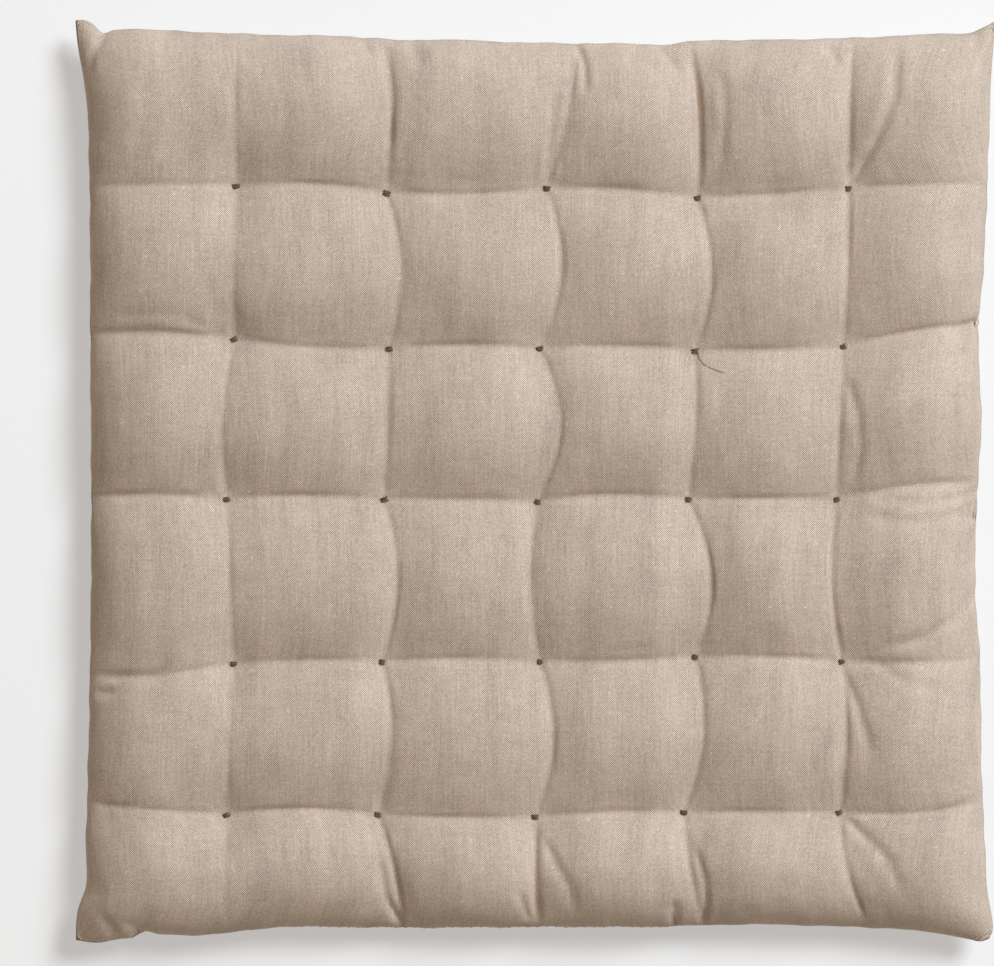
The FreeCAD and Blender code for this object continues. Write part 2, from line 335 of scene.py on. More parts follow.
TUFT_FINISH = twisted_thread("brown_tuft_thread", (0.040, 0.018, 0.009), (0.250, 0.135, 0.072))
SEWING_FINISH = twisted_thread("beige_sewing_thread", (0.36, 0.28, 0.21), (0.60, 0.50, 0.40))
WADDING_FINISH = fibre_mat()
print("finishes:", TUFT_FINISH.name, SEWING_FINISH.name, WADDING_FINISH.name)

# %% [markdown]
# ## Floor
# A large pale sheet, far wider than the view, so its own edges never show. It glows a little
# though it is no lamp: painted light that keeps the pad's shadow on it pale.


# %% Floor
FLOOR_REACH = 3.0  # metres from the middle to each side
FLOOR_TONES = ((0.516, 0.498, 0.470), (0.525, 0.507, 0.479))
# The floor's glow is painted light: it lifts the pad's cast shadow on the floor.
PAINTED_GLOW_COLOUR, PAINTED_GLOW_STRENGTH = (0.97, 1.0, 1.05, 1), 0.38


def add_floor():
    mesh = bpy.data.meshes.new("floor")
    corners = [(x * FLOOR_REACH, y * FLOOR_REACH, 0) for x, y in ((-1, -1), (1, -1), (1, 1), (-1, 1))]
    mesh.from_pydata(corners, [], [(0, 1, 2, 3)])
    floor = put_in_scene("floor", mesh)
    paint = Paint("pale_floor")
    place = paint.add("ShaderNodeTexCoord")["Object"]
    grain = paint.add("ShaderNodeTexNoise", None, {"Vector": place, "Scale": 3.0, "Detail": 2.0})["Fac"]
    colour = paint.colour_mix(grain, *FLOOR_TONES)
    # The emission is painted light, which lightens the pad's shadow on the floor.
    mesh.materials.append(paint.finish(colour, 0.9, Specular_IOR_Level=0.1, Emission_Color=PAINTED_GLOW_COLOUR,
                                       Emission_Strength=PAINTED_GLOW_STRENGTH))
    return floor


print("floor:", tuple(round(x, 1) for x in add_floor().dimensions))

# %% [markdown]
# ## The crease network
# Creases run from tuft to tuft and out to the seam, so the pad is a net of seven lines each way: the
# four sides, and five creases between them. No crease is quite straight, because the cloth gathers
# more on one side than on the other. Each stretch of crease therefore has a bow, and each column and
# row has a place where it runs out at the seam. The corners are pulled out to little ears where the
# seam allowance bunches inside.

# %% Sides and creases, in millimetres
LEFT = ((-199.4, -199.0), (-199.2, -190), (-198.0, -183.5), (-196.0, -179), (-195.2, -159), (-194.6, -136),
        (-193.5, -80), (-192.9, -20), (-193.2, 50), (-193.5, 117), (-193.9, 140), (-195.1, 165),
        (-196.6, 176), (-199.0, 190), (-199.8, 199.6))
RIGHT = ((196.2, -198.4), (197.7, -195.0), (197.4, -189), (195.6, -179), (194.6, -159), (193.4, -136),
         (192.4, -78), (190.4, -43), (191.2, -8), (192.9, 26), (191.6, 64), (194, 95), (196.4, 150),
         (197.6, 180), (199.4, 199.5))
FRONT = ((-199.4, -199.0), (-190.3, -200.2), (-181.2, -198.6), (-173, -197.4), (-169.5, -195.3),
         (-164, -196.4), (-154, -197.0), (-129, -195.5), (-110, -193.4), (-98, -193.4), (-59, -193.8),
         (0, -193.3), (61, -193.1), (86, -192.4), (132, -193.4), (166, -195.2), (177, -196.7),
         (187.6, -198.7), (193, -199.6), (196.2, -198.4))
BACK = ((-199.8, 199.6), (-196.1, 199.8), (-190.6, 196.8), (-187.6, 193.8), (-185, 195.0), (-179, 195.8),
        (-161, 195.3), (-138, 194.2), (-115, 193.3), (-74, 192.1), (-60, 190.9), (-46, 191.2), (-3, 189.9),
        (40, 189.6), (58, 189.3), (68, 190.5), (97, 191.0), (136, 191.8), (176, 193.9), (189, 194.5),
        (193, 196.2), (199.4, 199.5))

# How far each crease shifts sideways between its last tuft and the seam.
COLUMN_AT_FRONT = (0, 11, 2, 9, 14)
COLUMN_AT_BACK = (0, -1, 13, -3, 2)
ROW_AT_LEFT = (5, -5.5, 1, 2, 0)
ROW_AT_RIGHT = (4, 1, 7, 10, 2)

# The bow of each stretch: columns from the left, each from front to back, bowed to the right.
COLUMN_BOW = ((0, 0, 0, -3, 0, 0), (2, 5, 6, 0, 5.5, 1.5), (-1, 6.5, -4, 9, 7.5, 2),
              (-2, 5.5, 8, 1, 6, 2), (-4, 2, -4, -1, 0, -1))
# Rows from the front, each from left to right, bowed to the back.
ROW_BOW = ((0, 2.5, -1, 1, 0, -2), (-2, 1, 1, -1, 1, -1), (1, 1, 0, 2, 0, 2), (1, -2, 1, 1, -1, 1),
           (0, 2, -2, 1, -1, 0))
# How deep each stretch is, in the same order, as a share of the full depth.
COLUMN_DEPTH = ((0.3, 0.35, 0.6, 0.55, 0.35, 0.35), (1.1, 0.8, 0.9, 0.9, 0.9, 0.9),
                (1.0, 0.9, 0.9, 0.9, 0.9, 0.8), (1.0, 0.9, 1.0, 0.9, 1.0, 1.1),
                (0.6, 0.9, 1.0, 0.9, 1.1, 1.1))
ROW_DEPTH = ((0.6, 0.9, 0.9, 0.9, 0.9, 0.6), (0.6, 0.9, 0.9, 0.9, 0.9, 0.7),
             (1.0, 1.0, 1.0, 1.0, 0.9, 0.9), (0.9, 1.0, 1.0, 1.0, 1.0, 1.0),
             (0.5, 0.9, 1.0, 1.0, 1.0, 0.5))
print("points along the sides:", [len(side) for side in (LEFT, RIGHT, FRONT, BACK)])

# %% The net of creases
PUCKER = 0.3  # how far the thread draws the seam in and out
PUCKER_WAVE, PUCKER_SWELL = 0.31, 0.117  # radians per millimetre
PUCKER_REACH = 165  # from the middle of a side; the corners stay as they are drawn


def on_side(points, along, at):
    """A side's other coordinate at given values of its coordinate number `along`: a smooth curve."""
    points = np.array(points, float)
    knots, values = points[:, along], points[:, 1 - along]
    slopes = np.gradient(values, knots)
    k = np.clip(np.searchsorted(knots, at) - 1, 0, len(knots) - 2)
    step = knots[k + 1] - knots[k]
    t = (at - knots[k]) / step
    ends = values[k] * (1 + 2 * t) * (1 - t) ** 2 + values[k + 1] * t**2 * (3 - 2 * t)
    pucker = PUCKER * np.sin(PUCKER_WAVE * at + 2.1 * along) * np.sin(PUCKER_SWELL * at + 0.5)
    ends = ends + pucker * (np.abs(at) < PUCKER_REACH)
    return ends + step * (slopes[k] * t * (1 - t) ** 2 - slopes[k + 1] * t**2 * (1 - t))


def crossings():
    """The 7 x 7 points of the net: the tufts, and where the creases and the corners meet the seam."""
    net = np.zeros((PILLOWS + 1, PILLOWS + 1, 2))
    net[1:-1, 1:-1] = TUFTS
    net[0, 0], net[-1, 0], net[0, -1], net[-1, -1] = LEFT[0], LEFT[-1], RIGHT[0], RIGHT[-1]
    for end, side, shifts in ((0, FRONT, COLUMN_AT_FRONT), (-1, BACK, COLUMN_AT_BACK)):
        x = TUFTS[end, :, 0] + shifts
        net[end, 1:-1] = np.stack([x, on_side(side, 0, x)], 1)
    for end, side, shifts in ((0, LEFT, ROW_AT_LEFT), (-1, RIGHT, ROW_AT_RIGHT)):
        y = TUFTS[:, end, 1] + shifts
        net[1:-1, end] = np.stack([on_side(side, 1, y), y], 1)
    return net


NET = crossings()
print("net of", NET.shape[0], "x", NET.shape[1], "crossings")

# %% [markdown]
# ## Laying the grid
# Each pillow is one patch between four curves, filled by blending opposite curves (a Coons patch), so
# the grid's own lines follow the creases. The lines crowd together near a crease, where the cloth
# turns sharply, and spread out on top of a pillow, where it hardly bends.

# %% The plan of a panel
CELLS = 17  # cells across one pillow in the simulation
CROWDING = 0.45
PITCH = 66.0  # from one tuft to the next


def crowded():
    """Places from 0 to 1 across a pillow, closer together at both ends."""
    even = np.arange(CELLS + 1) / CELLS
    return even - CROWDING / (2 * math.pi) * np.sin(2 * math.pi * even)


def bowed(start, end, bow, axis, places):
    """Points on a stretch of crease between two crossings."""
    points = start + (end - start) * places[:, None]
    points[:, axis] += bow * np.sin(math.pi * places)
    return points


def side_stretch(start, end, side, along, places):
    """Points on a stretch of the seam between two crossings."""
    points = np.zeros((len(places), 2))
    points[:, along] = start[along] + (end[along] - start[along]) * places
    points[:, 1 - along] = on_side(side, along, points[:, along])
    return points


def plan_of_panel():
    """Plan positions of a panel's grid, and each line's place in pillows from the left or the front."""
    places = crowded()
    rows, columns = {}, {}
    for a in range(PILLOWS + 1):
        for b in range(PILLOWS):
            if a in (0, PILLOWS):
                rows[a, b] = side_stretch(NET[a, b], NET[a, b + 1], FRONT if a == 0 else BACK, 0, places)
                columns[a, b] = side_stretch(NET[b, a], NET[b + 1, a], LEFT if a == 0 else RIGHT, 1, places)
            else:
                rows[a, b] = bowed(NET[a, b], NET[a, b + 1], ROW_BOW[a - 1][b], 1, places)
                columns[a, b] = bowed(NET[b, a], NET[b + 1, a], COLUMN_BOW[a - 1][b], 0, places)
    size = PILLOWS * CELLS + 1
    plan = np.zeros((size, size, 2))
    x, y = places[None, :, None], places[:, None, None]
    for j in range(PILLOWS):
        for i in range(PILLOWS):
            patch = (1 - y) * rows[j, i][None] + y * rows[j + 1, i][None]
            patch = patch + (1 - x) * columns[i, j][:, None] + x * columns[i + 1, j][:, None]
            patch = patch - (1 - y) * ((1 - x) * NET[j, i] + x * NET[j, i + 1])
            patch = patch - y * ((1 - x) * NET[j + 1, i] + x * NET[j + 1, i + 1])
            plan[j * CELLS:(j + 1) * CELLS + 1, i * CELLS:(i + 1) * CELLS + 1] = patch
    lines = np.concatenate([places[:-1] + k for k in range(PILLOWS)] + [[float(PILLOWS)]])
    return plan, lines


PLAN, LINES = plan_of_panel()
print("grid:", PLAN.shape[:2], "spacing", round(float(np.diff(LINES).min() * PITCH), 2), "mm at a crease")

# %% [markdown]
# ## The filled shape before it is blown up
# The start shape is a plain formula: each panel rises steeply from the seam to its full height, and
# sinks along the creases and deeper still at the tufts. It starts a little thinner than the finished
# pad, because the cloth swells when it is simulated.

# %% Start heights
SWELL = 2.2  # how far the top pillows still rise when they are blown up
PAST_SEAT = 2.0  # how far the lower pillows would reach below the seat, which presses them flat
TOP_LOFT = THICK - SEAM - SWELL
UNDER_LOFT = SEAM + PAST_SEAT
ROW_CREASE, COLUMN_CREASE = 9.6, 6.3  # the rows of creases are the deeper ones
EDGE_REACH = 36.0  # from the seam to where a panel has its full height
EDGE_BEND, EDGE_RISE = 2.2, 1.5  # exponents of the rounded edge
UNEVEN = 0.08  # uneven heights, from which the cloth's small wrinkles start
SEAM_WAVE = 0.9


def valley(places):
    """1 on a crease and 0 in the middle of a pillow; the outermost lines are the seam, not creases."""
    off = np.abs(places - np.round(places))
    depth = (1 - 2 * off) ** 2
    depth[(places < 0.5) | (places > PILLOWS - 0.5)] = 0
    return depth


def by_stretch(table, line, along):
    """A table's value for the nearest crease, changing smoothly from one stretch to the next."""
    table = np.array(table, float)
    row = np.clip(np.round(line).astype(int), 1, PILLOWS - 1) - 1
    place = np.clip(along - 0.5, 0, PILLOWS - 1)
    first = np.floor(place).astype(int)
    second = np.minimum(first + 1, PILLOWS - 1)
    return table[row, first] * (1 - place + first) + table[row, second] * (place - first)


def rise(places):
    """0 at the seam and 1 from EDGE_REACH inwards, steep at first as a blown-up edge is."""
    inside = np.minimum(places, PILLOWS - places) * PITCH
    return (1 - (1 - np.minimum(inside / EDGE_REACH, 1)) ** EDGE_BEND) ** (1 / EDGE_RISE)


def spread_over_tufts(values, across, along):
    """Values given at the tufts, carried smoothly over the whole panel."""
    padded = np.pad(values, 1, mode="edge")
    x0 = np.clip(np.floor(across).astype(int), 0, PILLOWS - 1)
    y0 = np.clip(np.floor(along).astype(int), 0, PILLOWS - 1)
    fx, fy = across - x0, along - y0
    low = padded[y0, x0] * (1 - fx) + padded[y0, x0 + 1] * fx
    high = padded[y0 + 1, x0] * (1 - fx) + padded[y0 + 1, x0 + 1] * fx
    return low * (1 - fy) + high * fy


def start_heights(loft, pits, seed):
    """Heights from the seam of one panel before it is simulated, always upwards."""
    column = valley(ACROSS) * by_stretch(COLUMN_DEPTH, ACROSS, ALONG)
    row = valley(ALONG) * by_stretch(ROW_DEPTH, ALONG, ACROSS)
    tuft = valley(ACROSS) * valley(ALONG)
    full = rise(ACROSS) * rise(ALONG)
    creases = (COLUMN_CREASE * column * (1 - row) + ROW_CREASE * row) * (1 - tuft)
    pits = (loft - spread_over_tufts(pits, ACROSS, ALONG)) * tuft
    uneven = np.random.default_rng(seed).normal(0, UNEVEN, ACROSS.shape)
    return full * (loft - creases - pits + uneven)


ACROSS, ALONG = np.meshgrid(LINES, LINES)
# The seam isn't quite level: it lifts and dips a little as it goes round.
SEAM_Z = SEAM + SEAM_WAVE * np.sin(2.1 * ACROSS + 0.8) * np.cos(1.7 * ALONG - 0.4)
top_start = start_heights(TOP_LOFT, PIT_TOP - SEAM, 7)
under_start = start_heights(UNDER_LOFT, SEAM - PIT_UNDER, 11)
print("start heights: top", round(top_start.max(), 1), "under", round(under_start.max(), 1), "mm")

# %% [markdown]
# ## Blowing up the cloth
# Each panel is simulated by itself, because its seam and its tufts are held where the design puts
# them. The cloth is given a few percent more length than its start shape (a negative shrink), and air
# pressure from inside pushes it out. The spare length has nowhere to go near the tufts and close to
# the seam, so it gathers there in small folds, as it does on the real pad.

# %% Cloth simulation
FRAMES = 24
SPARE = 0.03  # share of extra length in the middle of a panel
AIR = 4.0
HOLD = 1  # grid points on each side of a tuft that are held with it
SPARE_AT_SEAM, SPARE_GROWTH = 0.35, 2.2  # share of the spare length at the seam, and more per pillow
SPARE_STEPS = 20  # few different shares, so that the group is filled quickly
CLOTH_SETTINGS = {
    "quality": 6, "mass": 0.3, "tension_stiffness": 60, "compression_stiffness": 15,
    "shear_stiffness": 5, "bending_stiffness": 0.5, "vertex_group_mass": "held",
    "vertex_group_shrink": "spare", "shrink_min": 0.0, "shrink_max": -SPARE,
    "use_pressure": True, "uniform_pressure_force": AIR,
}


def grid_faces(size, flip=False):
    index = np.arange(size * size).reshape(size, size)
    corners = [index[:-1, :-1], index[:-1, 1:], index[1:, 1:], index[1:, :-1]]
    return np.stack(corners[::-1] if flip else corners, -1).reshape(-1, 4)


def mesh_object(name, points, faces, edges=()):
    """A mesh object from points in millimetres."""
    mesh = bpy.data.meshes.new(name)
    mesh.from_pydata((np.asarray(points).reshape(-1, 3) * MM).tolist(), edges, [tuple(f) for f in faces])
    return put_in_scene(name, mesh)


def group(made, name, weights):
    """A vertex group with one weight for each point."""
    found = made.vertex_groups.new(name=name)
    for weight in np.unique(weights[weights > 0]):
        found.add(np.flatnonzero(weights == weight).tolist(), float(weight), "REPLACE")


def held_points(size):
    """1 at the seam and at the tufts, 0 elsewhere."""
    held = np.zeros((size, size))
    held[[0, -1]] = 1
    held[:, [0, -1]] = 1
    for j in range(1, PILLOWS):
        for i in range(1, PILLOWS):
            y, x = j * CELLS, i * CELLS
            held[y - HOLD:y + HOLD + 1, x - HOLD:x + HOLD + 1] = 1
    return held


def from_seam(across, along):
    """Distance from the nearest side, in pillows."""
    return np.minimum(np.minimum(across, PILLOWS - across), np.minimum(along, PILLOWS - along))


def spare_cloth():
    """The share of the spare length that each point gets: a third at the seam, all further in."""
    share = np.clip(SPARE_AT_SEAM + from_seam(ACROSS, ALONG) * SPARE_GROWTH, 0, 1)
    return np.round(share * SPARE_STEPS) / SPARE_STEPS


def blown_up(name, start):
    size = len(start)
    cloth = mesh_object(name, start, grid_faces(size))
    group(cloth, "held", held_points(size).ravel())
    group(cloth, "spare", spare_cloth().ravel())
    modifier = cloth.modifiers.new("Cloth", "CLOTH")
    for setting, value in CLOTH_SETTINGS.items():
        setattr(modifier.settings, setting, value)
    modifier.settings.effector_weights.gravity = 0
    modifier.collision_settings.use_collision = False
    modifier.point_cache.frame_end = FRAMES
    for step in range(1, FRAMES + 1):
        bpy.context.scene.frame_set(step)
    shaped = cloth.evaluated_get(bpy.context.evaluated_depsgraph_get()).data
    points = np.empty(size * size * 3)
    shaped.vertices.foreach_get("co", points)
    bpy.data.objects.remove(cloth)
    bpy.context.scene.frame_set(1)
    return points.reshape(size, size, 3) / MM


top_sim = blown_up("top_panel", np.dstack([PLAN, SEAM_Z + top_start]))
print("top panel rises to", round(top_sim[..., 2].max(), 1), "mm")
mirrored = blown_up("under_panel", np.dstack([PLAN, under_start]))
under_sim = np.dstack([mirrored[..., :2], SEAM_Z - mirrored[..., 2]])
print("lower panel reaches", round(under_sim[..., 2].min(), 1), "mm")

# %% [markdown]
# ## Finer cloth
# The simulated grid is doubled each way. Every new point lies on a smooth curve through its
# neighbours, so the pillows stay round. Then the details go in that are too small for the simulation:
# the sharp bottom of each crease, the dimple round each tuft, the single folds that start at a tuft or
# at the seam and die out on a pillow, and faint ripples.

# %% Single folds, in millimetres
FOLDS = (  # (places along the fold in plan, depth, half width)
    (((-186, 71.5), (-154, 71), (-144, 66)), 0.55, 2.0),
    (((-191, 64), (-160, 64.5), (-146, 63)), 0.4, 1.8),
    (((-190, -92), (-182.5, -91)), 1.5, 2.0),
    (((-190, -84), (-162, -85)), 0.7, 2.0),
    (((-187.6, 193), (-191, 186), (-194, 176)), 1.5, 2.0),
    (((-176, -190), (-170.5, -196)), 1.6, 1.8),
    (((-188, -186), (-181, -196)), 1.2, 1.8),
    (((-75, 191), (-72, 184)), 1.3, 1.6),
    (((-64, 184), (-62, 163), (-63, 143)), 1.4, 1.6),
    (((-54, 190), (-50, 178)), 1.4, 1.8),
    (((18, 189), (20.5, 180), (21, 167)), 1.6, 1.5),
    (((9, 168), (6, 150), (5, 131)), 1.3, 1.8),
    (((52, 188), (58, 182), (62, 176)), 1.0, 1.5),
    (((66, 183), (69, 165), (70, 130)), 1.2, 1.5),
    (((79, 175), (81, 158), (79, 138)), 1.2, 1.8),
    (((126, 188), (131, 178)), 1.2, 1.8),
    (((155, 186), (152.5, 163), (143, 141), (136, 130)), 2.4, 1.9),
    (((191, 194), (191, 186), (193, 176)), 1.0, 2.2),
    (((178, 64), (193, 69.5)), 1.5, 1.8),
    (((133.5, 43), (138, 28), (139, 13), (137, 1)), 1.4, 1.8),
    (((146, -8), (163, -10), (179, -8), (190, -5)), 1.3, 1.8),
    (((144, -14.5), (154, -17.3), (172, -17.3), (182, -13.7), (191, -10)), 1.8, 1.9),
    (((183, -16.5), (192, -14.5)), 1.8, 1.8),
    (((150, -72), (168, -67), (180, -60), (190, -50)), 1.5, 2.2),
    (((146, -78), (160, -88), (176, -90)), 1.0, 2.0),
    (((133, -84), (138, -98), (143.5, -117)), 1.3, 1.9),
    (((131, -100), (131.5, -122), (131, -138)), 0.7, 2.0),
    (((133, -145), (141, -153), (150, -162), (156, -176)), 1.6, 2.0),
    (((156, -149), (172, -146), (187, -138)), 1.1, 2.4),
    (((68, -158), (72, -171), (73, -182), (72, -192)), 1.5, 1.5),
    (((59.4, -181), (60.3, -193)), 2.0, 1.6),
    (((4, -156), (8.7, -165.6), (14, -175), (16, -184)), 1.6, 1.8),
    (((-1, -150), (-1, -166), (-1, -190)), 1.2, 1.4),
    (((-7, -178), (-3, -190)), 1.4, 1.6),
    (((-67, -164), (-64, -181), (-58.5, -192)), 2.4, 1.6),
)
print("single folds:", len(FOLDS))


# %% Doubling
def finer(grid):
    """Doubles a grid each way, with each new point on a curve through its four neighbours in line."""
    for axis in (0, 1):
        points = np.moveaxis(grid, axis, 0)
        before = np.concatenate([points[:1], points[:-2]])
        after = np.concatenate([points[2:], points[-1:]])
        middle = (9 * (points[:-1] + points[1:]) - before - after) / 16
        doubled = np.empty((2 * len(points) - 1,) + points.shape[1:])
        doubled[0::2], doubled[1::2] = points, middle
        grid = np.moveaxis(doubled, 0, axis)
    return grid


def distance_to(path, points):
    """Distance in plan from each point to a line through a few places, and how far along it lies."""
    best = np.full(points.shape[:-1], 1e9)
    along = np.zeros(points.shape[:-1])
    path = np.array(path, float)
    for k, (a, b) in enumerate(zip(path, path[1:])):
        t = np.clip(((points - a) @ (b - a)) / ((b - a) @ (b - a)), 0, 1)
        off = np.linalg.norm(points - a - t[..., None] * (b - a), axis=-1)
        nearer = off < best
        best[nearer] = off[nearer]
        along[nearer] = ((k + t) / (len(path) - 1))[nearer]
    return best, along


def normals(grid):
    """Upward unit normals of a grid of points."""
    normal = np.cross(np.gradient(grid, axis=1), np.gradient(grid, axis=0))
    return normal / (np.linalg.norm(normal, axis=2, keepdims=True) + 1e-9)


FINE_LINES = np.interp(np.arange(2 * len(LINES) - 1) / 2, np.arange(len(LINES)), LINES)
FINE_ACROSS, FINE_ALONG = np.meshgrid(FINE_LINES, FINE_LINES)
print("doubled grid:", FINE_ACROSS.shape)

# %% The small details
COLUMN_LINE, ROW_LINE = 1.2, 0.75  # extra depth in the very bottom of a crease
LINE_WIDTH = 1.5
LINE_FADE = 14  # a crease's sharp bottom fades out over this distance from the seam
DIMPLE = (1.7, 1.8, 1.6, 2.4, 1.8)  # depth round each tuft, by row from the front
DIMPLE_REACH = 11.0
FOLD_TIP, FOLD_GROWTH = 0.35, 5  # a fold's share of its depth at its ends, and how fast it gains the rest
RIPPLE = 0.22
RIPPLE_KNOTS = 27
SHOULDER = 0.5  # how softly a pillow meets the seat


def ripples(seed):
    """Soft random unevenness, like cloth that has been packed and shaken out; none at the seam or a tuft."""
    size = len(FINE_ACROSS)
    knots = np.random.default_rng(seed).normal(0, 1, (RIPPLE_KNOTS, RIPPLE_KNOTS))
    while len(knots) < size:
        knots = finer(knots[..., None])[..., 0]
    knots = knots[:size, :size]
    at_tuft = np.sqrt(valley(FINE_ACROSS) * valley(FINE_ALONG))
    return knots * np.clip(from_seam(FINE_ACROSS, FINE_ALONG) * 6, 0, 1) * (1 - at_tuft)


def sharpened(grid, folds, seed):
    """Adds crease bottoms, single folds, dimples and ripples, as dents along the normal."""
    dent = np.zeros(grid.shape[:2])
    for places, others, table, line in ((FINE_ACROSS, FINE_ALONG, COLUMN_DEPTH, COLUMN_LINE),
                                        (FINE_ALONG, FINE_ACROSS, ROW_DEPTH, ROW_LINE)):
        off = np.abs(places - np.clip(np.round(places), 1, PILLOWS - 1)) * PITCH
        out = np.clip(np.minimum(others, PILLOWS - others) * PITCH / LINE_FADE, 0, 1)
        uneven = 0.7 + 0.45 * np.sin(others * 7.1 + np.round(places) * 2.3) * np.sin(others * 2.9 + 1.0)
        share = by_stretch(table, places, others) * out * uneven
        dent = np.maximum(dent, line * share * np.exp(-(off / LINE_WIDTH) ** 2))
    for path, depth, width in folds:
        off, along = distance_to(path, grid[..., :2])
        taper = np.clip(np.minimum(along, 1 - along) * FOLD_GROWTH + FOLD_TIP, 0, 1)
        dent = dent + depth * taper * np.exp(-(off / width) ** 2)
    for row, depth in zip(TUFTS, DIMPLE):
        for tuft in row:
            off = np.linalg.norm(grid[..., :2] - tuft, axis=-1)
            dent = dent + depth * np.exp(-(off / DIMPLE_REACH) ** 2)
    dent = dent + RIPPLE * ripples(seed)
    return grid - dent[..., None] * normals(grid)


def pressed(heights):
    """Heights with the part below the seat pressed flat against it, with a soft shoulder."""
    return SHOULDER * np.log1p(np.exp(np.clip(heights / SHOULDER, -30, 30)))


top_skin = sharpened(finer(top_sim), FOLDS, 21)
under_skin = finer(under_sim)
under_skin[..., 2] = 2 * SEAM - under_skin[..., 2]
under_skin = sharpened(under_skin, (), 22)
under_skin[..., 2] = pressed(2 * SEAM - under_skin[..., 2])
print("skins:", top_skin.shape[:2], "top", round(top_skin[..., 2].max(), 1), "mm")

# %% [markdown]
# ## Sewing the edge
# At the seam each panel rolls round and runs back inside as the seam allowance, good side against good
# side. The rolled edge is what makes the thin dark line round the pad. Solidify gives the cloth its
# thickness, inwards, so the outside keeps its size.

# %% The two covers
ALLOWANCE = 10.0
CLOTH = 0.55
EDGE_LIFT = 0.55  # from the seam up to the skin's own edge
ROLL = ((0.35, 0.2), (1.2, 0.06), (5.0, 0.06), (ALLOWANCE, 0.06))  # (inset, height from the seam)


def around(grid):
    """A grid's outermost points in order, anticlockwise from the front left corner."""
    return np.concatenate([grid[0, :-1], grid[:-1, -1], grid[-1, :0:-1], grid[:0:-1, 0]])


SEAM_RING_Z = around(finer(SEAM_Z[..., None]))[:, 0]
FINE_PLAN = finer(PLAN)


def inset_ring(distance):
    """The seam's line in plan, moved inwards, with mitred corners."""
    share = distance / PITCH
    wide = PILLOWS - 2 * share
    places = np.stack([around(FINE_ACROSS), around(FINE_ALONG)], 1) * wide / PILLOWS + share
    index = np.interp(places, FINE_LINES, np.arange(len(FINE_LINES)))
    low = np.clip(np.floor(index).astype(int), 0, len(FINE_LINES) - 2)
    part = (index - low)[..., None]
    i, j = low[:, 0], low[:, 1]
    front = FINE_PLAN[j, i] * (1 - part[:, 0]) + FINE_PLAN[j, i + 1] * part[:, 0]
    back = FINE_PLAN[j + 1, i] * (1 - part[:, 0]) + FINE_PLAN[j + 1, i + 1] * part[:, 0]
    return front * (1 - part[:, 1]) + back * part[:, 1]


def flat_cut(grid):
    """Where each point of a skin lies on its flat cut: lengths measured along the cloth from its middle."""
    middle = len(grid) // 2
    cut = np.zeros(grid.shape[:2] + (2,))
    for axis, coordinate in ((1, 0), (0, 1)):
        steps = np.linalg.norm(np.diff(grid, axis=axis), axis=2)
        start = np.zeros_like(steps[:, :1] if axis else steps[:1])
        length = np.cumsum(np.concatenate([start, steps], axis), axis)
        zero = np.take(length, [middle], axis)
        place = np.take(grid[..., coordinate], [middle], axis)
        cut[..., coordinate] = length - zero + place
    return cut


def add_cut_map(made, cut):
    """Stores the flat cut as the piece's UV map, in metres."""
    layer = made.data.uv_layers.new(name="cut")
    corner = np.empty(len(made.data.loops), int)
    made.data.loops.foreach_get("vertex_index", corner)
    layer.data.foreach_set("uv", (cut[corner] * MM).ravel())


def smooth(made):
    made.data.polygons.foreach_set("use_smooth", [True] * len(made.data.polygons))
    made.data.update()


def sewn_cover(name, skin, side):
    """One panel: its skin, its rolled edge and its allowance; side is 1 for the top and -1 below."""
    skin = skin.copy()
    edge = np.ones(skin.shape[:2], bool)
    edge[1:-1, 1:-1] = False
    skin[edge, 2] += side * EDGE_LIFT
    cut = flat_cut(skin)
    points, cuts = [skin.reshape(-1, 3)], [cut.reshape(-1, 2)]
    size = len(skin)
    rim = around(np.arange(size * size).reshape(size, size))
    faces = grid_faces(size, flip=side < 0).tolist()
    for number, (inset, height) in enumerate(ROLL):
        ring = inset_ring(inset)
        points.append(np.column_stack([ring, SEAM_RING_Z + side * height]))
        cuts.append(around(cut) + around(skin)[:, :2] - ring)
        inner = size * size + number * len(rim) + np.arange(len(rim))
        quads = np.stack([inner, np.roll(inner, -1), np.roll(rim, -1), rim], 1)
        faces += (quads if side > 0 else quads[:, ::-1]).tolist()
        rim = inner
    made = mesh_object(name, np.concatenate(points), faces)
    add_cut_map(made, np.concatenate(cuts))
    made.data.materials.append(CLOTH_FINISH)
    smooth(made)
    thickness = made.modifiers.new("thickness", "SOLIDIFY")
    thickness.thickness = CLOTH * MM
    thickness.offset = -1
    return made, cut


top_cover, top_cut = sewn_cover("cover_top", top_skin, 1)
under_cover, under_cut = sewn_cover("cover_underside", under_skin, -1)

# %% [markdown]
# ## Wadding
# Three layers: two that follow the panels, and a flat one between them. The outer layers copy the
# finished cloth, taken at its lowest place nearby so that no fold cuts into them, and moved in by the
# cloth's thickness and a little slack, so they fill the pillows.

# %% Wadding layers
SLACK = 1.3  # from a panel's outer face to the wadding
WADDING_INSET = 2.4
INSET_REACH = 10  # how far in from the seam the outer layers' plan is drawn in
THIN_EDGE = 0.3  # least thickness of an outer layer
CORE_INSET, CORE_HALF, CORE_EDGE = 17.0, 3.0, 0.3
LAYER_GAP = 0.2
OVER_ALLOWANCE = 0.9
STEP = 4  # how far in plan a change from one height to another takes


def inward(distance):
    """0 near the seam and 1 further in than a distance, with a few millimetres between."""
    return np.clip((from_seam(ACROSS, ALONG) * PITCH - distance) / STEP, 0, 1)


